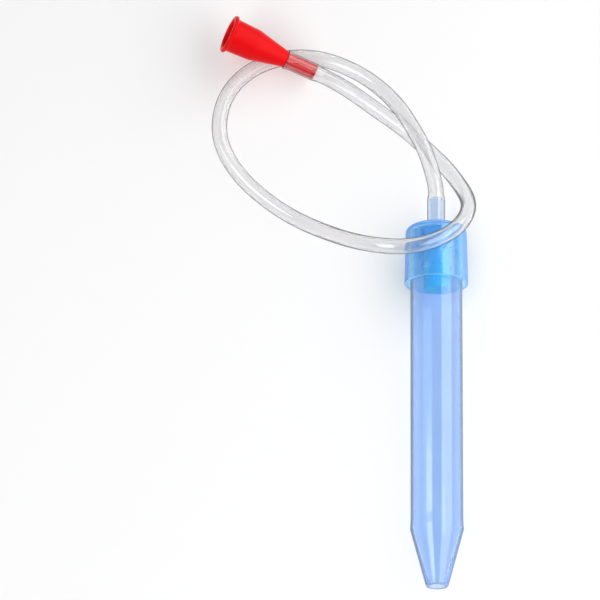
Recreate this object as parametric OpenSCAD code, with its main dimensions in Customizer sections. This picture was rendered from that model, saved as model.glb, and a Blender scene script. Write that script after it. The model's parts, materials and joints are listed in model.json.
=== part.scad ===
// Mouth-suction nasal aspirator: a nozzle tube with a tapered tip, a push-on cap that holds
// a foam filter plug, a soft clear hose and a mouthpiece. It lies on a table.
// Row frame: +Z up, +Y from the tip towards the cap, +X to the right. The origin is below
// the middle of the tube and cap, on the table. Millimetres.

/* [Nozzle tube] */
// Outer diameter of the barrel
barrel_d = 20; // [18:0.5:21]
// Wall of the barrel
barrel_wall = 1; // [0.8:0.1:1.4]
// Length of the barrel from the shoulder to the rim of the cap
barrel_l = 98.5; // [60:0.5:140]
// Length of the tapered tip
tip_l = 22.5; // [16:0.5:30]
// Outer diameter at the end of the tip
tip_d = 8.4; // [7.6:0.2:10]
// Bore at the end of the tip
tip_bore_d = 6; // [4:0.5:6]
// Length of the straight bore behind the tip's lip
tip_land = 2.4; // [1.5:0.1:4]
// Diameter of the low bead at the shoulder, where the barrel meets the tip
shoulder_d = 20.4; // [20:0.1:21.5]
// Length over which the bead runs out into the barrel
shoulder_l = 4; // [2:0.5:8]

/* [Cap] */
// Height of the cap from its rim to its flat top
cap_h = 23; // [20:0.5:30]
// Outer diameter at the rim
cap_rim_d = 24.6; // [24:0.2:28]
// Outer diameter just below the rounded top edge
cap_top_d = 23.6; // [23.4:0.2:26]
// Radius of the rounded top edge
cap_edge_r = 2.5; // [1:0.25:3]
// Wall of the skirt
skirt_wall = 1; // [0.8:0.1:1.2]
// Thickness of the flat top
cap_top_t = 1.6; // [1.2:0.1:2.5]
// Length of the inner sleeve that grips the tube's bore
sleeve_l = 9; // [5:0.5:14]
// Wall of the inner sleeve
sleeve_wall = 1.1; // [0.8:0.1:1.4]
// Length of the socket that holds the filter plug
socket_l = 15; // [8:0.5:18]
// Wall of the filter socket
socket_wall = 1; // [0.8:0.1:1.2]

/* [Stem] */
// Outer diameter of the hose stem on the cap
stem_d = 4.9; // [4.5:0.1:5.5]
// Length of the stem above the cap's top
stem_l = 12; // [8:0.5:16]
// Bore of the stem
stem_bore_d = 2.8; // [2:0.1:3.2]

/* [Filter plug] */
// Diameter of the foam plug
plug_d = 10; // [8:0.5:11]
// Length of the foam plug
plug_l = 24; // [18:0.5:26]

/* [Hose] */
// Outer diameter of the hose
hose_d = 6; // [5:0.25:6.25]
// Outer diameter where the hose is stretched over a stem
hose_end_d = 6.9; // [6.6:0.1:8]

/* [Mouthpiece] */
// Outer diameter of the rolled rim
mouth_rim_d = 15.4; // [14.6:0.2:17]
// Axial thickness of the rolled rim
mouth_rim_t = 1.6; // [1.2:0.1:2.4]
// Outer diameter of the barrel next to the rim
mouth_barrel_d = 13.4; // [13:0.2:14.4]
// Outer diameter where the barrel meets the cone
mouth_waist_d = 12.5; // [12:0.1:13]
// Length of the barrel, rim included
mouth_barrel_l = 11.5; // [9:0.5:16]
// Length of the cone between the barrel and the neck
mouth_cone_l = 13.5; // [10:0.5:18]
// Outer diameter of the neck, against the hose
mouth_neck_d = 6.5; // [6.4:0.1:7]
// Bore of the cup
mouth_cup_d = 11; // [10:0.2:11.4]
// Outer diameter of the stem inside the hose
mouth_stem_d = 4.8; // [4.4:0.1:5.2]
// Length of the stem inside the hose
mouth_stem_l = 12.8; // [10:0.2:13]
// Bore of the mouthpiece stem
mouth_bore_d = 2.8; // [2:0.1:3.2]

/* [Hidden] */

fit = 0.05;        // radial running clearance of every push fit
face_gap = 0.2;    // gap where the hose's cut end meets a shoulder
stop_gap = 0.4;    // gap between the tube's open end and the cap's ceiling
lip_r = 0.6;       // rounding of the tip's lip
lead_in = 0.5;     // chamfer on sleeve, socket and stem ends
round_fn = 96;     // facets of the turned parts

rim_u = tip_l + barrel_l;              // cap rim, measured along the axis from the tip
top_u = rim_u + cap_h;                 // flat top of the cap
ceiling_u = top_u - cap_top_t;         // inside of the cap's top
stem_u = top_u + stem_l;               // end of the cap's stem
tube_u = ceiling_u - stop_gap;         // open end of the nozzle tube
barrel_r = barrel_d / 2;
bore_r = barrel_r - barrel_wall;
shoulder_r = shoulder_d / 2;
rim_r = cap_rim_d / 2;
stem_r = stem_d / 2;
hose_r = hose_d / 2;
hose_bore_r = 2;                       // bore of the hose away from its ends

// The tube rests on its shoulder and on the cap's rim, so its axis climbs a little to the cap.
tilt = atan((rim_r - shoulder_r) / barrel_l);
axis_z = shoulder_r * cos(tilt) - tip_l * sin(tilt);
axis_y = -(stem_u * cos(tilt) + (stem_r - tip_d / 2) * sin(tilt)) / 2;
function on_axis(u) = [0, axis_y + u * cos(tilt), axis_z + u * sin(tilt)];
axis_dir = [0, cos(tilt), sin(tilt)];

// Hose ends: the cap end runs 1 mm past the stem, and the mouth end starts at mouth_pos and
// points up and to the left, along mouth_dir.
cap_end_u = stem_u + 1;
mouth_pos = [-46.5, 134, 5.5];
mouth_turn = 161.5;                    // heading from +X, counter-clockwise from above
mouth_rise = 18;                       // climb above the table
mouth_dir = [cos(mouth_rise) * cos(mouth_turn), cos(mouth_rise) * sin(mouth_turn),
             sin(mouth_rise)];
mouth_neck_z = 13.5;                   // length of hose from mouth_pos to the neck
end_step = 5;                          // spacing of the straight guide points at both ends

// Points that steer the free stretch of the hose: off the stem, over the strand that comes
// back, round the left loop on the table, up over the cap, round and down to the table, and
// under the first strand to the mouthpiece.
free_points = [
    [-4, 99, 12.5], [-8.5, 108, 10.5], [-13.5, 118, 8.5], [-20.5, 127, 5.5],
    [-28, 134, 3.5], [-38.5, 139.5, 3], [-47.5, 142, 3], [-59, 142, 3],
    [-70.5, 138, 3], [-79.5, 130, 3], [-84, 120.5, 3], [-85, 108.5, 3],
    [-81, 98, 3], [-74.5, 89, 3], [-66, 81, 3.5], [-57, 74, 5],
    [-48, 68, 8.5], [-40, 62.5, 14.5], [-33.5, 57.5, 21.5], [-24.5, 53, 28],
    [-13, 51, 30.5], [-1.5, 53.5, 30], [8, 60.5, 26.5], [12.5, 69.5, 21.5],
    [12.5, 78, 14.5], [8.5, 87.5, 7.5], [3.5, 96, 4], [-5, 104.5, 3],
    [-12.5, 112, 3], [-22.5, 119, 3], [-33, 127.5, 3]];
route = concat(
    [for (k = [-1:1]) on_axis(cap_end_u) + k * end_step * axis_dir],
    free_points,
    [for (k = [-1:1]) mouth_pos + k * end_step * mouth_dir]);
rings_per_span = 2;
hose_sides = 12;

// A uniform cubic B-spline: the curve and its direction at t = 0 to 1 past point i.
function spline(p, i, t) =
    ((1 - t) ^ 3 * p[i] + (3 * t ^ 3 - 6 * t ^ 2 + 4) * p[i + 1]
     + (-3 * t ^ 3 + 3 * t ^ 2 + 3 * t + 1) * p[i + 2] + t ^ 3 * p[i + 3]) / 6;
function spline_dir(p, i, t) =
    -(1 - t) ^ 2 * p[i] + (3 * t ^ 2 - 4 * t) * p[i + 1]
    + (-3 * t ^ 2 + 2 * t + 1) * p[i + 2] + t ^ 2 * p[i + 3];
function unit(v) = v / norm(v);
// One ring of the hose, square to its direction. The hose is nowhere near upright.
function ring(centre, dir, r, sides) =
    let (side = unit(cross(dir, [0, 0, 1])), up = unit(cross(side, dir)))
    [for (k = [0:sides - 1]) centre + r * (cos(360 * k / sides) * side
                                           + sin(360 * k / sides) * up)];
// Points of an arc in a turned profile.
function arc(cx, cy, r, from, to, steps = 8) =
    [for (k = [0:steps]) let (a = from + (to - from) * k / steps)
        [cx + r * cos(a), cy + r * sin(a)]];

// Puts a part that is turned about Z, with the tip's end at 0, where it lies on the table.
module lay() {
    translate([0, axis_y, axis_z]) rotate([tilt - 90, 0, 0]) children();
}

// Puts a part whose hose end is at 0, with the mouth at +Z, at the far end of the hose.
module at_mouth() {
    translate(mouth_pos) rotate([0, 90 - mouth_rise, mouth_turn]) children();
}

// A closed profile, in radius and height, turned about Z.
module turned(profile) {
    rotate_extrude($fn = round_fn) polygon(profile);
}

module nozzle_tube() {
    tip_r = tip_d / 2;
    tip_bore_r = tip_bore_d / 2;
    color([0.70, 0.82, 0.98]) lay() turned(concat(
        arc(tip_r - lip_r, lip_r, lip_r, -90, -15, 5),
        [[shoulder_r, tip_l], [barrel_r, tip_l + shoulder_l], [barrel_r, tube_u - lead_in],
         [barrel_r - lead_in / 2, tube_u], [bore_r, tube_u], [bore_r, tip_l + lip_r],
         [tip_bore_r, tip_land], [tip_bore_r, 0]]));
}

module cap() {
    top_r = cap_top_d / 2;
    sleeve_r = bore_r - fit;
    socket_r = plug_d / 2 + fit;
    sleeve_end = ceiling_u - sleeve_l;
    socket_end = ceiling_u - socket_l;
    edge_u = top_u - cap_edge_r;
    inner_edge_r = cap_edge_r / 2;
    inner_r = top_r - skirt_wall;
    color([0.36, 0.66, 0.96]) lay() turned(concat(
        // outside, from the rim over the rounded edge to the stem
        [[rim_r - skirt_wall, rim_u], [rim_r, rim_u]],
        arc(top_r - cap_edge_r, edge_u, cap_edge_r, 0, 90),
        [[stem_r, top_u], [stem_r, stem_u - lead_in], [stem_r - lead_in, stem_u],
         [stem_bore_d / 2, stem_u], [stem_bore_d / 2, ceiling_u]],
        // filter socket
        [[socket_r, ceiling_u], [socket_r, socket_end + lead_in],
         [socket_r + lead_in, socket_end], [socket_r + socket_wall, socket_end],
         [socket_r + socket_wall, ceiling_u]],
        // sleeve that grips the tube
        [[sleeve_r - sleeve_wall, ceiling_u], [sleeve_r - sleeve_wall, sleeve_end],
         [sleeve_r - lead_in, sleeve_end], [sleeve_r, sleeve_end + lead_in],
         [sleeve_r, ceiling_u]],
        // inside of the skirt
        arc(inner_r - inner_edge_r, ceiling_u - inner_edge_r, inner_edge_r, 90, 0)));
}

module filter_plug() {
    color([0.05, 0.50, 0.90]) lay() translate([0, 0, ceiling_u - plug_l])
        cylinder(h = plug_l, d = plug_d, $fn = round_fn);
}

// The end of the hose, stretched over a stem that reaches from the cut end at z = 0 to stem_end.
module stretched_end(length, stem_end, inner_r) {
    turned([[inner_r, 0], [hose_end_d / 2, 0], [hose_end_d / 2, stem_end - 0.5],
            [hose_r, length], [hose_bore_r, length], [hose_bore_r, stem_end + 0.3],
            [inner_r, stem_end + 0.3]]);
}

module hose_cap_end() {
    color([0.90, 0.91, 0.93]) lay() translate([0, 0, top_u + face_gap])
        stretched_end(cap_end_u - top_u - face_gap, stem_l - face_gap, stem_r + fit);
}

module hose_mouth_end() {
    length = mouth_neck_z - face_gap;
    color([0.90, 0.91, 0.93]) at_mouth() translate([0, 0, length]) mirror([0, 0, 1])
        stretched_end(length, mouth_stem_l - face_gap, mouth_stem_d / 2 + fit);
}

module hose() {
    spans = len(route) - 3;
    steps = [for (i = [0:spans - 1], k = [0:rings_per_span - 1]) [i, k / rings_per_span]];
    stations = concat(steps, [[spans - 1, 1]]);
    rings = [for (s = stations)
        ring(spline(route, s[0], s[1]), spline_dir(route, s[0], s[1]), hose_r, hose_sides)];
    n = hose_sides;
    last = len(rings) - 1;
    skin = [for (j = [0:last - 1], k = [0:n - 1]) let (m = (k + 1) % n)
        each [[j * n + k, (j + 1) * n + k, (j + 1) * n + m], [j * n + k, (j + 1) * n + m, j * n + m]]];
    color([0.90, 0.91, 0.93]) polyhedron(
        points = [for (r = rings) each r],
        faces = concat([[for (k = [0:n - 1]) k]], skin,
                       [[for (k = [n - 1:-1:0]) last * n + k]]));
}

module mouthpiece() {
    neck_z = mouth_neck_z;
    waist_z = neck_z + mouth_cone_l;
    mouth_z = waist_z + mouth_barrel_l;
    rim_z = mouth_z - mouth_rim_t;
    stem_r = mouth_stem_d / 2;
    stem_z = neck_z - mouth_stem_l;
    bore_r = mouth_bore_d / 2;
    cup_r = mouth_cup_d / 2;
    bead_r = mouth_rim_t / 2;
    rim_out = mouth_rim_d / 2 - bead_r;
    color([0.92, 0.13, 0.14]) at_mouth() turned(concat(
        [[bore_r, stem_z], [stem_r - lead_in, stem_z], [stem_r, stem_z + lead_in],
         [stem_r, neck_z], [mouth_neck_d / 2 - 0.3, neck_z], [mouth_neck_d / 2, neck_z + 0.3],
         [mouth_waist_d / 2, waist_z], [mouth_barrel_d / 2, rim_z]],
        arc(rim_out, rim_z + bead_r, bead_r, -90, 90),
        // flared lip, straight cup and funnel down to the bore
        [[cup_r + bead_r + 0.2, mouth_z], [cup_r + 0.3, rim_z], [cup_r, rim_z - 0.8],
         [cup_r, waist_z], [bore_r, neck_z + 1]]));
}

nozzle_tube();
cap();
filter_plug();
hose_cap_end();
hose();
hose_mouth_end();
mouthpiece();
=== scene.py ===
"""Looks of a mouth-suction nasal aspirator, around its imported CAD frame.

Turned parts are drawn in millimetres along their own axis and placed where the frame says.
The hose's route and everything in the scene are in metres.
"""

import json
import math

import bpy
from mathutils import Matrix, Vector, noise


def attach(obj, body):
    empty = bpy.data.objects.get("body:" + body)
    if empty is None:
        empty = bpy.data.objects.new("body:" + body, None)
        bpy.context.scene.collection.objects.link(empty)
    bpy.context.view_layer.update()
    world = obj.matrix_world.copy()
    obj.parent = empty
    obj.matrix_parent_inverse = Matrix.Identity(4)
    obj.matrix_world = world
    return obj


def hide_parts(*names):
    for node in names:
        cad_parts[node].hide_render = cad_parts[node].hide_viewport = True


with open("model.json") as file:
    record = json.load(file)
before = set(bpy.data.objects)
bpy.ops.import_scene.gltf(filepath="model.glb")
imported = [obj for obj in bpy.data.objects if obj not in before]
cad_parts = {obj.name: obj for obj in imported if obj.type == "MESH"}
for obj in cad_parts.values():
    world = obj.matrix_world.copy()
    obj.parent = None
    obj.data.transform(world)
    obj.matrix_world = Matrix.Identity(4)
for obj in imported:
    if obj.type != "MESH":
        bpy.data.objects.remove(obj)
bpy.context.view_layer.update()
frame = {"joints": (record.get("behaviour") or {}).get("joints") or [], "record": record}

MM = 0.001
JOINTS = {j["name"]: j for j in frame["joints"]}
MOUNTS = {m["name"]: m for m in frame["record"]["mounts"]}

# Lengths along the tube's axis from the end of the tip, and radii, in millimetres.
TIP_L, RIM_U, TOP_U, STEM_U = 22.5, 121.0, 144.0, 156.0
TOP_T, STOP_GAP = 1.6, 0.4
CEILING_U = TOP_U - TOP_T
TUBE_U = CEILING_U - STOP_GAP
SHOULDER_R, SHOULDER_L, BARREL_R, BORE_R = 10.2, 4.0, 10.0, 9.0
TIP_R, TIP_BORE_R, TIP_LAND = 4.2, 3.0, 2.4
RIM_R, TOP_R, EDGE_R, SKIRT_WALL = 12.3, 11.8, 2.5, 1.0
SLEEVE_R, SLEEVE_WALL, SLEEVE_L = 8.95, 1.1, 9.0
PLUG_R, PLUG_L = 5.0, 24.0
SOCKET_R, SOCKET_WALL, SOCKET_L = 5.05, 1.0, 15.0
STEM_R, STEM_BORE_R = 2.45, 1.4

# Where the bore's taper starts, where the tube counts as inside the cap, and how far from each
# end its cut face reaches.
BORE_TAPER_U, IN_CAP_U = TIP_L + 0.6, RIM_U + 1.0
TIP_FACE_T, RIM_FACE_T = 0.5, 0.1

# The mouthpiece, along its own axis from the free stretch of hose.
NECK_Z, WAIST_Z, MOUTH_Z = 13.5, 27.0, 38.5
RIM_T, MOUTH_RIM_R, MOUTH_R, WAIST_R, NECK_R = 1.6, 7.7, 6.7, 6.25, 3.25
CUP_R, MOUTH_BORE_R, MOUTH_STEM_R, MOUTH_STEM_L = 5.5, 1.4, 2.4, 12.8
MOUTH_STEM_Z = NECK_Z - MOUTH_STEM_L
OPENING_MID_Z = 31.5

# The mouthpiece's stem is fluted beyond FLUTED_R, up to NECK_MARGIN below the neck. A ridge is
# where the flutes' wave is above RIDGE; the ridges are darkened as painted shade, and darker
# still, as a painted shadow, over the stem's first STEM_END_L.
FLUTES, FLUTE_DEPTH, FLUTED_R = 8, 0.45, MOUTH_BORE_R + 0.4
NECK_MARGIN, RIDGE, STEM_END_L = 0.05, 0.3, 1.7

# The hose. It is stretched over each stem with a little play, up to FACE_GAP from the shoulder.
# Past the stem's end its outside and its bore each narrow: (from where, over what length).
HOSE_R, HOSE_BORE_R, HOSE_END_R, FACE_GAP = 3.0, 2.0, 3.45, 0.2
PLAY = 0.05
OUTSIDE_NARROWS, BORE_NARROWS = (-0.5, 3.5), (0.3, 4.0)
CAP_GRIP_L, MOUTH_GRIP_L = STEM_U - TOP_U - FACE_GAP, MOUTH_STEM_L - FACE_GAP

# Its end at the mouthpiece flares by LIP over LIP_L.
LIP, LIP_L = 0.35, 2.6

AXIS = Vector(JOINTS["cap_swivel"]["axis"]).normalized()
TIP = Vector(MOUNTS["nozzle_tip"]["pos_m"]) - AXIS * TIP_LAND / 2 * MM
MOUTH_AXIS = Vector(JOINTS["mouthpiece_pull"]["axis"]).normalized()
MOUTH_START = Vector(MOUNTS["mouth_opening"]["pos_m"]) - MOUTH_AXIS * OPENING_MID_Z * MM


# ---------------------------------------------------------------- camera and hose

TARGET = Vector((-0.0524, 0.0371, 0.0101))
DISTANCE = 2.0
ELEVATION, AZIMUTH = 69.2, 0.36
LENS, SENSOR = 312.0, 36.0


def make_camera():
    """A long lens, high over the tip's end of the tube."""
    data = bpy.data.cameras.new("camera")
    data.lens, data.sensor_width = LENS, SENSOR
    data.clip_start, data.clip_end = 0.1, 20.0
    camera = bpy.data.objects.new("camera", data)
    e, a = math.radians(ELEVATION), math.radians(AZIMUTH)
    back = Vector((math.sin(a) * math.cos(e), -math.cos(a) * math.cos(e), math.sin(e)))
    camera.location = TARGET + back * DISTANCE
    camera.rotation_euler = (-back).to_track_quat("-Z", "Y").to_euler()
    bpy.context.scene.collection.objects.link(camera)
    bpy.context.scene.camera = camera


# The hose's free stretch: off the stem, over the strand that comes back, round the left loop
# on the table, up over the cap, round and down, and under the first strand. These points
# repeat part.scad's. They aren't a list chosen by hand: a separate program fitted them to the
# hose's line in the photo, in steps of half a millimetre.
FREE_POINTS = [
    (-0.004, 0.099, 0.0125), (-0.0085, 0.108, 0.0105), (-0.0135, 0.118, 0.0085),
    (-0.0205, 0.127, 0.0055), (-0.028, 0.134, 0.0035), (-0.0385, 0.1395, 0.003),
    (-0.0475, 0.142, 0.003), (-0.059, 0.142, 0.003), (-0.0705, 0.138, 0.003),
    (-0.0795, 0.130, 0.003), (-0.084, 0.1205, 0.003), (-0.085, 0.1085, 0.003),
    (-0.081, 0.098, 0.003), (-0.0745, 0.089, 0.003), (-0.066, 0.081, 0.0035),
    (-0.057, 0.074, 0.005), (-0.048, 0.068, 0.0085), (-0.040, 0.0625, 0.0145),
    (-0.0335, 0.0575, 0.0215), (-0.0245, 0.053, 0.028), (-0.013, 0.051, 0.0305),
    (-0.0015, 0.0535, 0.030), (0.008, 0.0605, 0.0265), (0.0125, 0.0695, 0.0215),
    (0.0125, 0.078, 0.0145), (0.0085, 0.0875, 0.0075), (0.0035, 0.096, 0.004),
    (-0.005, 0.1045, 0.003), (-0.0125, 0.112, 0.003), (-0.0225, 0.119, 0.003),
    (-0.033, 0.1275, 0.003)]
END_STEP = 0.005
CAP_END_U = STEM_U + 1
RINGS_PER_SPAN = 15
RING_STEP = 0.0008
HOSE_SIDES = 48


def hose_line():
    """The middle of the hose from the cap's top to the mouthpiece's neck: straight on each stem,
    and a cubic B-spline between."""
    cap_end = TIP + AXIS * CAP_END_U * MM
    points = [cap_end + AXIS * END_STEP * k for k in (-1, 0, 1)]
    points += [Vector(p) for p in FREE_POINTS]
    points += [MOUTH_START + MOUTH_AXIS * END_STEP * k for k in (-1, 0, 1)]
    line = []
    for a, b, c, d in zip(points, points[1:], points[2:], points[3:]):
        for k in range(RINGS_PER_SPAN):
            t = k / RINGS_PER_SPAN
            line.append(((1 - t) ** 3 * a + (3 * t ** 3 - 6 * t ** 2 + 4) * b
                         + (-3 * t ** 3 + 3 * t ** 2 + 3 * t + 1) * c + t ** 3 * d) / 6)
    line.append(MOUTH_START)
    first = TIP + AXIS * (TOP_U + FACE_GAP) * MM
    last = MOUTH_START + MOUTH_AXIS * (NECK_Z - FACE_GAP) * MM
    lead = straight(first, line[0])
    return lead[:-1] + line + straight(line[-1], last)[1:]


def straight(a, b):
    """Points from a to b, a ring's step apart."""
    count = max(1, round((b - a).length / RING_STEP))
    return [a.lerp(b, k / count) for k in range(count + 1)]


def smooth(t):
    """0 below 0, 1 above 1, and a smooth step between."""
    t = min(max(t, 0.0), 1.0)
    return t * t * (3 - 2 * t)


def narrowed(stretched, free, past_stem, start, length):
    """A radius of the hose, which goes from stretched to free past the stem's end."""
    return stretched + (free - stretched) * smooth((past_stem - start) / length)


def hose_radii(from_end, grip_l, stem_r):
    """(outer, bore) radius of the hose, in millimetres, this far from an end on a stem."""
    past_stem = from_end - grip_l
    outer = narrowed(HOSE_END_R, HOSE_R, past_stem, *OUTSIDE_NARROWS)
    bore = narrowed(stem_r + PLAY, HOSE_BORE_R, past_stem, *BORE_NARROWS)
    return outer, bore


def hose_rings(line, travelled):
    """The hose's points, and where each ring of its outside and of its bore starts in them."""
    side = AXIS.cross(Vector((0, 0, 1))).normalized()
    verts, outer_rings, bore_rings = [], [], []
    for i, centre in enumerate(line):
        ahead = (line[min(i + 1, len(line) - 1)] - line[max(i - 1, 0)]).normalized()
        side = (side - ahead * side.dot(ahead)).normalized()
        up = ahead.cross(side)
        near, far = travelled[i] / MM, (travelled[-1] - travelled[i]) / MM
        if near < far:
            outer, bore = hose_radii(near, CAP_GRIP_L, STEM_R)
        else:
            outer, bore = hose_radii(far, MOUTH_GRIP_L, MOUTH_STEM_R)
            outer += LIP * (1 - smooth(far / LIP_L))
        for rings, r in ((outer_rings, outer), (bore_rings, bore)):
            rings.append(len(verts))
            for k in range(HOSE_SIDES):
                turn = 2 * math.pi * k / HOSE_SIDES
                verts.append(centre + (side * math.cos(turn) + up * math.sin(turn)) * r * MM)
    return verts, outer_rings, bore_rings


def on_ridge(point):
    """Whether this point lies over a ridge of the mouthpiece's fluted stem."""
    x, y, _ = placed(MOUTH_START, MOUTH_AXIS).inverted() @ point
    return math.cos(FLUTES * math.atan2(y, x)) > RIDGE


OUTSIDE, GRIPPED, BORE = range(3)


def hose_faces(verts, outer_rings, bore_rings, travelled):
    """The hose's faces, and which skin each one has: its outside, its bore, or its bore where
    it grips the cap's stem or a ridge of the mouthpiece's."""
    cap_grip_end = CAP_GRIP_L * MM
    mouth_grip_start = travelled[-1] - MOUTH_GRIP_L * MM
    faces, skins = [], []
    for k in range(HOSE_SIDES):
        m = (k + 1) % HOSE_SIDES
        for a, b in zip(outer_rings, outer_rings[1:]):
            faces.append((a + k, a + m, b + m, b + k))
            skins.append(OUTSIDE)
        for i, (a, b) in enumerate(zip(bore_rings, bore_rings[1:])):
            middle = (verts[a + k] + verts[b + m]) / 2
            on_cap = travelled[i + 1] < cap_grip_end
            on_mouth = travelled[i] > mouth_grip_start and on_ridge(middle)
            faces.append((a + k, b + k, b + m, a + m))
            skins.append(GRIPPED if on_cap or on_mouth else BORE)
        faces.append((outer_rings[0] + k, bore_rings[0] + k, bore_rings[0] + m,
                      outer_rings[0] + m))
        faces.append((outer_rings[-1] + k, outer_rings[-1] + m, bore_rings[-1] + m,
                      bore_rings[-1] + k))
        skins += [OUTSIDE, OUTSIDE]
    return faces, skins


def make_hose():
    """The hose, the points along its middle, and its length."""
    line = hose_line()
    travelled = [0.0]
    for a, b in zip(line, line[1:]):
        travelled.append(travelled[-1] + (b - a).length)
    verts, outer_rings, bore_rings = hose_rings(line, travelled)
    faces, skins = hose_faces(verts, outer_rings, bore_rings, travelled)
    hose = add_mesh("soft_hose", verts, faces)
    hose.data.polygons.foreach_set("material_index", skins)
    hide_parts("hose", "hose_cap_end", "hose_mouth_end")
    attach(hose, "hose")
    return hose, line, travelled[-1]


# ---------------------------------------------------------------- meshes

TURN_SIDES = 144
FILLET_STEPS = 5
SHARP = math.radians(40)


def add_mesh(name, verts, faces):
    mesh = bpy.data.meshes.new(name)
    mesh.from_pydata([tuple(v) for v in verts], [], faces)
    mesh.validate()
    mesh.shade_smooth()
    mesh.set_sharp_from_angle(angle=SHARP)
    thing = bpy.data.objects.new(name, mesh)
    bpy.context.scene.collection.objects.link(thing)
    return thing


def placed(origin, direction):
    """Millimetres along Z at the origin, to metres along direction at that point."""
    turn = direction.to_track_quat("Z", "Y").to_matrix().to_4x4()
    return Matrix.Translation(origin) @ turn @ Matrix.Scale(MM, 4)


def rounded(outline):
    """A closed outline of (radius, height, rounding) with its corners rounded."""
    points = []
    count = len(outline)
    for i, (r, z, fillet) in enumerate(outline):
        corner = Vector((r, z))
        back = Vector(outline[i - 1][:2]) - corner
        ahead = Vector(outline[(i + 1) % count][:2]) - corner
        if fillet <= 0:
            points.append(corner)
            continue
        half = back.angle(ahead) / 2
        reach = fillet / math.tan(half)
        inward = (back.normalized() + ahead.normalized()).normalized()
        middle = corner + inward * fillet / math.sin(half)
        start = corner + back.normalized() * reach - middle
        end = corner + ahead.normalized() * reach - middle
        for k in range(FILLET_STEPS + 1):
            points.append(middle + start.slerp(end, k / FILLET_STEPS) * fillet)
    return points


def turned(name, outline, place, body, *nodes, flute=None):
    """A part turned from a closed outline of (radius, height, rounding), anticlockwise with
    radius to the right. flute(radius, height, turn) is how deep a point there is cut in."""
    points = rounded(outline)
    count = len(points)
    verts, faces = [], []
    for k in range(TURN_SIDES):
        turn = 2 * math.pi * k / TURN_SIDES
        for r, z in points:
            reach = r - flute(r, z, turn) if flute else r
            verts.append(place @ Vector((reach * math.cos(turn), reach * math.sin(turn), z)))
    for k in range(TURN_SIDES):
        a, b = k * count, (k + 1) % TURN_SIDES * count
        for i in range(count):
            j = (i + 1) % count
            faces.append((a + i, b + i, b + j, a + j))
    part = add_mesh(name, verts, faces)
    even = part.modifiers.new("even_normals", "WEIGHTED_NORMAL")
    even.weight, even.keep_sharp = 80, True
    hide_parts(*nodes)
    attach(part, body)
    return part


def paint(part, index, chosen):
    """Gives a material to the faces chosen by their place along the tube's axis, in
    millimetres, and by whether they face inward."""
    for face in part.data.polygons:
        from_tip = face.center - TIP
        along = from_tip.dot(AXIS)
        outward = from_tip - AXIS * along
        if chosen(along / MM, face.normal.dot(outward) < 0):
            face.material_index = index


def make_nozzle():
    nozzle = turned("nozzle_shell", [
        (TIP_BORE_R, 0, 0.3), (TIP_R, 0, 0.65), (SHOULDER_R, TIP_L, 0.5),
        (BARREL_R, TIP_L + SHOULDER_L, 6), (BARREL_R, IN_CAP_U, 0), (BARREL_R, TUBE_U, 0.3),
        (BORE_R, TUBE_U, 0.2), (BORE_R, IN_CAP_U, 0), (BORE_R, BORE_TAPER_U, 1.2),
        (TIP_BORE_R, TIP_LAND, 0.5),
    ], placed(TIP, AXIS), "nozzle", "nozzle_tube")
    bore, tip_face, in_cap = 1, 2, 3
    paint(nozzle, bore, lambda along, inward: inward)
    paint(nozzle, tip_face, lambda along, inward: along < TIP_FACE_T)
    paint(nozzle, in_cap, lambda along, inward: along > IN_CAP_U)
    return nozzle


def make_cap():
    socket_out = SOCKET_R + SOCKET_WALL
    sleeve_in = SLEEVE_R - SLEEVE_WALL
    cap = turned("cap_shell", [
        (RIM_R - SKIRT_WALL, RIM_U, 0.25), (RIM_R, RIM_U, 0.35), (TOP_R, TOP_U, EDGE_R),
        (STEM_R, TOP_U, 0.15), (STEM_R, STEM_U, 0.4), (STEM_BORE_R, STEM_U, 0.2),
        (STEM_BORE_R, CEILING_U, 0.2), (SOCKET_R, CEILING_U, 0.1),
        (SOCKET_R, CEILING_U - SOCKET_L, 0.35), (socket_out, CEILING_U - SOCKET_L, 0.2),
        (socket_out, CEILING_U, 0.25), (sleeve_in, CEILING_U, 0.25),
        (sleeve_in, CEILING_U - SLEEVE_L, 0.2), (SLEEVE_R, CEILING_U - SLEEVE_L, 0.4),
        (SLEEVE_R, CEILING_U, 0.25), (TOP_R - SKIRT_WALL, CEILING_U, EDGE_R / 2),
    ], placed(TIP, AXIS), "cap", "cap")
    inside, stem, rim_face = 1, 2, 3
    paint(cap, inside, lambda along, inward: inward)
    paint(cap, stem, lambda along, inward: TOP_U + FACE_GAP < along < STEM_U)
    paint(cap, rim_face, lambda along, inward: along < RIM_U + RIM_FACE_T)
    return cap


def stem_flute(r, z, turn):
    """Shallow flutes along the outside of the mouthpiece's stem, up to its neck."""
    if r < FLUTED_R or z > NECK_Z - NECK_MARGIN:
        return 0.0
    return FLUTE_DEPTH * (0.5 - 0.5 * math.cos(FLUTES * turn))


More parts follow.
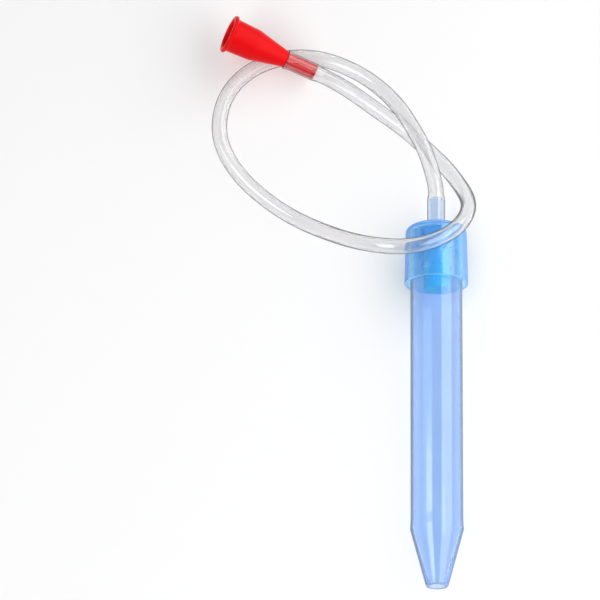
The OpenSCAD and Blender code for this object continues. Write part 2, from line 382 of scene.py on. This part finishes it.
def make_mouthpiece():
    rim_z = MOUTH_Z - RIM_T
    ridge_z = MOUTH_STEM_Z + STEM_END_L
    mouthpiece = turned("red_mouthpiece", [
        (MOUTH_BORE_R, MOUTH_STEM_Z, 0.2), (MOUTH_STEM_R, MOUTH_STEM_Z, 0.45),
        (MOUTH_STEM_R, ridge_z, 0), (MOUTH_STEM_R, NECK_Z, 0.15),
        (NECK_R, NECK_Z, 0.3), (WAIST_R, WAIST_Z, 2.5), (MOUTH_R, rim_z - 0.1, 0.3),
        (MOUTH_RIM_R, rim_z, 0.75), (MOUTH_RIM_R, MOUTH_Z, 0.8), (CUP_R + 0.3, MOUTH_Z, 0.9),
        (CUP_R, rim_z - 0.8, 1.5), (CUP_R, WAIST_Z, 2), (MOUTH_BORE_R, NECK_Z + 1, 0.8),
    ], placed(MOUTH_START, MOUTH_AXIS), "mouthpiece", "mouthpiece", flute=stem_flute)
    # Painted shade: the stem's ridges get a darker red, and a painted shadow darker still over its
    # first STEM_END_L.
    ridge, shadowed_end = 1, 2
    for face in mouthpiece.data.polygons:
        out = (face.center - MOUTH_START).cross(MOUTH_AXIS).length / MM
        along = (face.center - MOUTH_START).dot(MOUTH_AXIS) / MM
        if FLUTED_R < out and along < NECK_Z and on_ridge(face.center):
            face.material_index = ridge if along > ridge_z else shadowed_end
    return mouthpiece


# The plug has rings of points up its side, and in its ends from their middle out. It stops
# PLUG_GAP short of the socket's ceiling. Its cells are PORE_SIZE apart, with gaps between them
# that are PORE_DEPTH deep and widen with a smaller PORE_SLOPE.
PLUG_SIDES, PLUG_RINGS, PLUG_DISCS = 120, 96, 18
PLUG_EDGE, PLUG_GAP = 0.8, 0.05
PORE_SIZE, PORE_DEPTH, PORE_SLOPE = 0.9, 0.16, 2.2


def make_plug():
    """A foam cylinder with softly rounded edges and a skin of open pores."""
    top_z = PLUG_L - PLUG_GAP
    place = placed(TIP + AXIS * (CEILING_U - PLUG_L) * MM, AXIS)
    outline = [(PLUG_R * k / PLUG_DISCS, 0.0) for k in range(PLUG_DISCS)]
    outline += [(PLUG_R, top_z * k / PLUG_RINGS) for k in range(PLUG_RINGS + 1)]
    outline += [(PLUG_R * k / PLUG_DISCS, top_z) for k in range(PLUG_DISCS - 1, -1, -1)]
    verts = [place @ pored(Vector((0, 0, 0)), Vector((0, 0, -1)))]
    for r, z in outline[1:-1]:
        for k in range(PLUG_SIDES):
            turn = 2 * math.pi * k / PLUG_SIDES
            way = Vector((math.cos(turn), math.sin(turn), 0))
            core = way * min(r, PLUG_R - PLUG_EDGE)
            core.z = min(max(z, PLUG_EDGE), top_z - PLUG_EDGE)
            flat = way * r + Vector((0, 0, z))
            out = (flat - core).normalized() if (flat - core).length > 1e-6 else way
            corner = r > PLUG_R - PLUG_EDGE and not PLUG_EDGE < z < top_z - PLUG_EDGE
            verts.append(place @ pored(core + out * PLUG_EDGE if corner else flat, out))
    verts.append(place @ pored(Vector((0, 0, top_z)), Vector((0, 0, 1))))
    faces = []
    rings = len(outline) - 2
    for k in range(PLUG_SIDES):
        m = (k + 1) % PLUG_SIDES
        faces.append((0, 1 + m, 1 + k))
        for i in range(rings - 1):
            a, b = 1 + i * PLUG_SIDES, 1 + (i + 1) * PLUG_SIDES
            faces.append((a + k, a + m, b + m, b + k))
        top = 1 + (rings - 1) * PLUG_SIDES
        faces.append((top + k, top + m, len(verts) - 1))
    plug = add_mesh("foam_plug", verts, faces)
    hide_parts("filter_plug")
    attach(plug, "filter")
    return plug


def pored(p, out):
    """The point, sunk into the foam if it lies between two cells. out points out of the foam."""
    nearest, second = noise.voronoi(p / PORE_SIZE)[0][:2]
    return p - out * PORE_DEPTH * (1 - smooth((second - nearest) * PORE_SLOPE))


# ---------------------------------------------------------------- materials

PLASTIC_IOR = 1.49
# Facing, from 0 face on to 1 edge on, between which light in a wall of that plastic starts to be
# trapped and is shown by a painted colour, and how much further a painted dark outline takes to
# reach its full strength.
TRAP_FROM, TRAP_TO = 0.255, 0.30
OUTLINE_WIDTH = 0.2
# How much of a clear plastic's tint lamplight takes on when it goes straight through.
LAMP_TINT = 0.05
# The power that turns a colour into the deeper of its two tones.
DEEPER = 1.3


def feed(tree, socket, value):
    """Sets an input to a value or links it to another node's output."""
    if isinstance(value, bpy.types.NodeSocket):
        tree.links.new(value, socket)
    else:
        socket.default_value = value


def node(tree, kind, **inputs):
    """A new shader node, with its inputs set by name."""
    made = tree.nodes.new(kind)
    for name, value in inputs.items():
        feed(tree, made.inputs[name.replace("_", " ")], value)
    return made


def material(name):
    made = bpy.data.materials.new(name)
    made.use_nodes = True
    made.node_tree.nodes.clear()
    return made, made.node_tree


def output(tree, shader):
    out = tree.nodes.new("ShaderNodeOutputMaterial")
    tree.links.new(shader, out.inputs["Surface"])


def math_node(tree, operation, a, b):
    made = tree.nodes.new("ShaderNodeMath")
    made.operation = operation
    feed(tree, made.inputs[0], a)
    feed(tree, made.inputs[1], b)
    return made.outputs[0]


def mix_colour(tree, share, a, b):
    """Colour a, turning into colour b as share goes from 0 to 1."""
    made = tree.nodes.new("ShaderNodeMix")
    made.data_type = "RGBA"
    share_in, a_in, b_in = made.inputs[0], made.inputs[6], made.inputs[7]
    feed(tree, share_in, share)
    feed(tree, a_in, a)
    feed(tree, b_in, b)
    return made.outputs[2]


def mix_shaders(tree, share, a, b):
    """Shader a, turning into shader b as share goes from 0 to 1."""
    made = node(tree, "ShaderNodeMixShader", Fac=share)
    tree.links.new(a, made.inputs[1])
    tree.links.new(b, made.inputs[2])
    return made.outputs[0]


def shade(colour, power):
    """A colour raised to a power, as four numbers: deeper above 1 and paler below."""
    return (*[c ** power for c in colour], 1)


def wavy(tree, scale, detail=3.0):
    """Noise in the part's own frame, with cells of about 1 / scale metres."""
    place = tree.nodes.new("ShaderNodeTexCoord")
    return node(tree, "ShaderNodeTexNoise", Vector=place.outputs["Object"], Scale=scale,
                Detail=detail).outputs["Fac"]


def clear_plastic(name, tint, glow, trapped, rim, edge, outline_at, roughness, milk, ripple=0.0):
    """Clear moulded plastic, a little milky. Where light is trapped inside a wall it shows the
    colour glow, painted light standing in for that trapped light, to the share trapped. Along its
    outer edges it shows the colour rim, a painted dark outline that is painted shade and partly
    the deeper colour of the longer path through the wall, to the share edge, from where the
    surface has turned as far away as outline_at. ripple is the height of its waves, in metres."""
    made, tree = material(name)
    facing = node(tree, "ShaderNodeLayerWeight", Blend=0.5).outputs["Facing"]
    inside = tree.nodes.new("ShaderNodeNewGeometry").outputs["Backfacing"]
    cloud = node(tree, "ShaderNodeMapRange", Value=wavy(tree, 60), To_Min=0.85, To_Max=1.15)
    colour = node(tree, "ShaderNodeGamma", Color=(*tint, 1), Gamma=cloud.outputs[0])
    rough = node(tree, "ShaderNodeMapRange", Value=wavy(tree, 150), To_Min=roughness * 0.7,
                 To_Max=roughness * 1.3)
    clear = node(tree, "ShaderNodeBsdfPrincipled", Base_Color=colour.outputs[0],
                 Roughness=rough.outputs[0], IOR=PLASTIC_IOR, Transmission_Weight=1 - milk)
    if ripple:
        bump = node(tree, "ShaderNodeBump", Height=wavy(tree, 120, 1.0), Strength=1.0,
                    Distance=ripple)
        tree.links.new(bump.outputs[0], clear.inputs["Normal"])
    # Painted light and shade: from inside a wall, glow stands in for trapped light; from outside,
    # rim is a painted dark outline.
    painted_edges = node(tree, "ShaderNodeBsdfPrincipled", Roughness=0.35, Specular_IOR_Level=0.2,
                Base_Color=mix_colour(tree, inside, (*rim, 1), (*glow, 1)))
    caught = node(tree, "ShaderNodeMapRange", Value=facing, From_Min=TRAP_FROM,
                  From_Max=TRAP_TO, To_Max=trapped)
    seen_from_inside = math_node(tree, "MULTIPLY", caught.outputs[0], inside)
    outside = math_node(tree, "SUBTRACT", 1.0, inside)
    outline = node(tree, "ShaderNodeMapRange", Value=facing, From_Min=outline_at,
                   From_Max=outline_at + OUTLINE_WIDTH, To_Max=edge)
    seen_from_outside = math_node(tree, "MULTIPLY", outline.outputs[0], outside)
    share = math_node(tree, "MAXIMUM", seen_from_inside, seen_from_outside)
    solid = mix_shaders(tree, share, clear.outputs[0], painted_edges.outputs[0])
    output(tree, lamp_way(tree, solid, tint))
    return made


def clear_pvc(name, edge):
    # The near-black rim is a painted dark outline, painted shade; the grey glow is painted trapped
    # light.
    return clear_plastic(name, (0.915, 0.915, 0.92), glow=(0.62, 0.62, 0.63), trapped=0.4,
                         rim=(0.035, 0.035, 0.04), edge=edge, outline_at=0.52, roughness=0.04,
                         milk=0.02)


def pale_blue(name, edge):
    # The rim is a painted dark outline, painted shade and partly the deeper blue of a long path;
    # the glow is painted trapped light.
    return clear_plastic(name, (0.60, 0.745, 0.98), glow=(0.25, 0.43, 0.85), trapped=0.85,
                         rim=(0.14, 0.24, 0.43), edge=edge, outline_at=0.48, roughness=0.08,
                         milk=0.02, ripple=0.00004)


def pale_blue_in_cap():
    """The tube's end inside the cap, which shows less of its painted dark outline there, and whose
    painted outline and painted trapped light are a brighter blue.
    """
    return clear_plastic("pale_blue_in_cap", (0.68, 0.81, 0.985), glow=(0.22, 0.52, 0.95),
                         trapped=0.6, rim=(0.22, 0.52, 0.95), edge=0.6, outline_at=0.55,
                         roughness=0.08, milk=0.02)


def sky_blue(name, edge):
    # The rim is a painted dark outline, painted shade and partly the deeper blue of a long path;
    # the glow is painted trapped light.
    return clear_plastic(name, (0.61, 0.885, 0.993), glow=(0.13, 0.45, 1.0), trapped=0.8,
                         rim=(0.12, 0.32, 0.80), edge=edge, outline_at=0.40, roughness=0.12,
                         milk=0.015, ripple=0.00005)


def lamp_way(tree, solid, tint):
    """The shader, but with lamplight let straight through to what is behind, tinted."""
    way = node(tree, "ShaderNodeBsdfTransparent", Color=shade(tint, LAMP_TINT))
    path = tree.nodes.new("ShaderNodeLightPath")
    lit = math_node(tree, "MAXIMUM", path.outputs["Is Shadow Ray"], path.outputs["Is Diffuse Ray"])
    return mix_shaders(tree, lit, solid, way.outputs[0])


def frosted(name, colour, milk):
    """The matt cut face of a clear moulding, which glows with the light in its walls."""
    made, tree = material(name)
    tone = mix_colour(tree, wavy(tree, 900), (*colour, 1), shade(colour, DEEPER))
    rough = node(tree, "ShaderNodeMapRange", Value=wavy(tree, 600), To_Min=0.25, To_Max=0.4)
    solid = node(tree, "ShaderNodeBsdfPrincipled", Base_Color=tone, Roughness=rough.outputs[0],
                 IOR=PLASTIC_IOR, Transmission_Weight=1 - milk)
    output(tree, lamp_way(tree, solid.outputs[0], colour))
    return made


def wetted(name, tint, milk):
    """A face that the stretched hose grips so tightly that light passes it without bending."""
    made, tree = material(name)
    colour = mix_colour(tree, wavy(tree, 400), (*tint, 1), shade(tint, DEEPER))
    through = node(tree, "ShaderNodeBsdfTransparent", Color=colour)
    haze = node(tree, "ShaderNodeBsdfDiffuse", Color=colour)
    shine = node(tree, "ShaderNodeBsdfGlossy", Roughness=0.15)
    body = mix_shaders(tree, milk, through.outputs[0], haze.outputs[0])
    output(tree, mix_shaders(tree, 0.03, body, shine.outputs[0]))
    return made


def red_plastic(name, depth):
    """Moulded red. depth is how much of the red is left, from 0 to 1; below 1 the red is darkened
    as painted shade.
    """
    made, tree = material(name)
    colour = mix_colour(tree, wavy(tree, 90), (0.78 * depth, 0.004, 0.006, 1),
                        (0.70 * depth, 0.003, 0.005, 1))
    bump = node(tree, "ShaderNodeBump", Height=wavy(tree, 500, 2.0), Strength=1.0,
                Distance=0.00003)
    solid = node(tree, "ShaderNodeBsdfPrincipled", Base_Color=colour, Roughness=0.30, IOR=1.5,
                 Specular_IOR_Level=0.07, Subsurface_Weight=0.2, Subsurface_Scale=0.002,
                 Normal=bump.outputs[0])
    solid.inputs["Subsurface Radius"].default_value = (1.0, 0.15, 0.1)
    output(tree, solid.outputs[0])
    return made


def foam():
    """Open-cell foam, paler between its cells."""
    made, tree = material("blue_foam")
    place = tree.nodes.new("ShaderNodeTexCoord").outputs["Object"]
    cells = node(tree, "ShaderNodeTexVoronoi", Vector=place, Scale=1 / (PORE_SIZE * 0.5 * MM))
    tone = mix_colour(tree, cells.outputs["Distance"], (0.001, 0.42, 0.98, 1),
                      (0.004, 0.64, 1.0, 1))
    fine = math_node(tree, "MULTIPLY", wavy(tree, 2500), 0.5)
    colour = mix_colour(tree, fine, tone, (0.05, 0.60, 1.0, 1))
    bump = node(tree, "ShaderNodeBump", Height=cells.outputs["Distance"], Strength=1.0,
                Distance=0.0003)
    solid = node(tree, "ShaderNodeBsdfPrincipled", Base_Color=colour, Roughness=0.9,
                 Subsurface_Weight=0.5, Subsurface_Scale=0.003, Sheen_Weight=0.3,
                 Normal=bump.outputs[0])
    solid.inputs["Subsurface Radius"].default_value = (0.3, 0.8, 1.0)
    output(tree, solid.outputs[0])
    return made


def pale_floor():
    made, tree = material("pale_floor")
    colour = mix_colour(tree, wavy(tree, 3), (0.85, 0.85, 0.85, 1), (0.87, 0.87, 0.87, 1))
    solid = node(tree, "ShaderNodeBsdfPrincipled", Base_Color=colour, Roughness=0.7)
    output(tree, solid.outputs[0])
    return made


# ---------------------------------------------------------------- studio

FLOOR_HALF, FLOOR_GAP = 3.0, 0.0001


def make_floor():
    mesh = bpy.data.meshes.new("floor")
    corners = [(x * FLOOR_HALF, y * FLOOR_HALF, 0) for x, y in ((-1, -1), (1, -1), (1, 1), (-1, 1))]
    mesh.from_pydata(corners, [], [(0, 1, 2, 3)])
    floor = bpy.data.objects.new("floor", mesh)
    floor.location.z = -FLOOR_GAP
    floor.data.materials.append(pale_floor())
    bpy.context.scene.collection.objects.link(floor)


def softbox(name, centre, aim, size, radiance):
    """A lamp that faces aim, size being its width across the tube and its length along it."""
    data = bpy.data.lights.new(name, "AREA")
    data.shape = "RECTANGLE"
    data.size_y, data.size = size
    data.energy = radiance * math.pi * size[0] * size[1]
    box = bpy.data.objects.new(name, data)
    box.location = centre
    box.rotation_euler = (centre - aim).to_track_quat("Z", "Y").to_euler()
    bpy.context.scene.collection.objects.link(box)


HORIZON, ZENITH = (0.73, 0.73, 0.73), (0.205, 0.205, 0.21)


def make_world():
    """A studio that is paler low down and darker overhead, behind the camera."""
    world = bpy.data.worlds.new("studio")
    world.use_nodes = True
    tree = world.node_tree
    tree.nodes.clear()
    way = tree.nodes.new("ShaderNodeTexCoord").outputs["Generated"]
    height = node(tree, "ShaderNodeSeparateXYZ", Vector=way).outputs["Z"]
    share = node(tree, "ShaderNodeMapRange", Value=height, From_Min=0.05, From_Max=0.5)
    colour = mix_colour(tree, share.outputs[0], (*HORIZON, 1), (*ZENITH, 1))
    sky = node(tree, "ShaderNodeBackground", Color=colour, Strength=1.0)
    out = tree.nodes.new("ShaderNodeOutputWorld")
    tree.links.new(sky.outputs[0], out.inputs["Surface"])
    bpy.context.scene.world = world


BOX_DISTANCE = 0.9
BOX_AIM = Vector((0.0, 0.04, 0.01))
# Each softbox: its lean from overhead in degrees, its width, where it starts and ends along the
# tube, in metres, and its radiance.
BOXES = {"left_box": (-35, 0.42, -0.8, 0.215, 3.3), "right_box": (45, 0.80, -0.8, 1.1, 2.55)}


def make_lights():
    """Two softboxes, one each side of the tube, that leave a darker gap overhead. The right one
    is the longer one."""
    for name, (lean, width, start, end, radiance) in BOXES.items():
        a = math.radians(lean)
        middle = BOX_AIM + Vector((0, (start + end) / 2, 0))
        centre = middle + Vector((math.sin(a), 0, math.cos(a))) * BOX_DISTANCE
        softbox(name, centre, middle, (width, end - start), radiance)


def set_render():
    """Plain colours, and enough bounces for light to pass through all the clear walls."""
    scene = bpy.context.scene
    scene.view_settings.view_transform = "Standard"
    scene.cycles.max_bounces = 32
    scene.cycles.transmission_bounces = 32
    scene.cycles.transparent_max_bounces = 32
    scene.cycles.caustics_refractive = False
    scene.cycles.caustics_reflective = False


# ---------------------------------------------------------------- the object

def add_materials(part, *materials):
    """Gives a part its materials, in the order of the numbers that its faces have."""
    for one in materials:
        part.data.materials.append(one)


make_camera()
hose, centres, length = make_hose()
add_materials(
    hose,
    clear_pvc("clear_pvc", edge=0.95),
    wetted("pvc_on_stem", (0.98, 0.98, 0.985), milk=0.0),
    clear_pvc("clear_pvc_bore", edge=0.0))

nozzle = make_nozzle()
add_materials(
    nozzle,
    pale_blue("pale_blue_plastic", edge=1.0),
    pale_blue("pale_blue_bore", edge=0.0),
    frosted("tube_end", (0.40, 0.52, 0.74), milk=0.6),
    pale_blue_in_cap())

cap = make_cap()
add_materials(
    cap,
    sky_blue("sky_blue_plastic", edge=0.85),
    sky_blue("sky_blue_inside", edge=0.0),
    wetted("blue_stem", (0.87, 0.92, 0.985), milk=0.1),
    frosted("cap_end", (0.35, 0.72, 1.0), milk=0.6))

mouthpiece = make_mouthpiece()
add_materials(
    mouthpiece,
    red_plastic("red_plastic", 1.0),
    # The ridges' red is darkened as painted shade, and the stem's end darker still as a painted
    # shadow.
    red_plastic("red_ridges_painted_shade", 0.62),
    red_plastic("red_stem_end_painted_shadow", 0.3))

plug = make_plug()
add_materials(plug, foam())

make_floor()
make_world()
make_lights()
set_render()
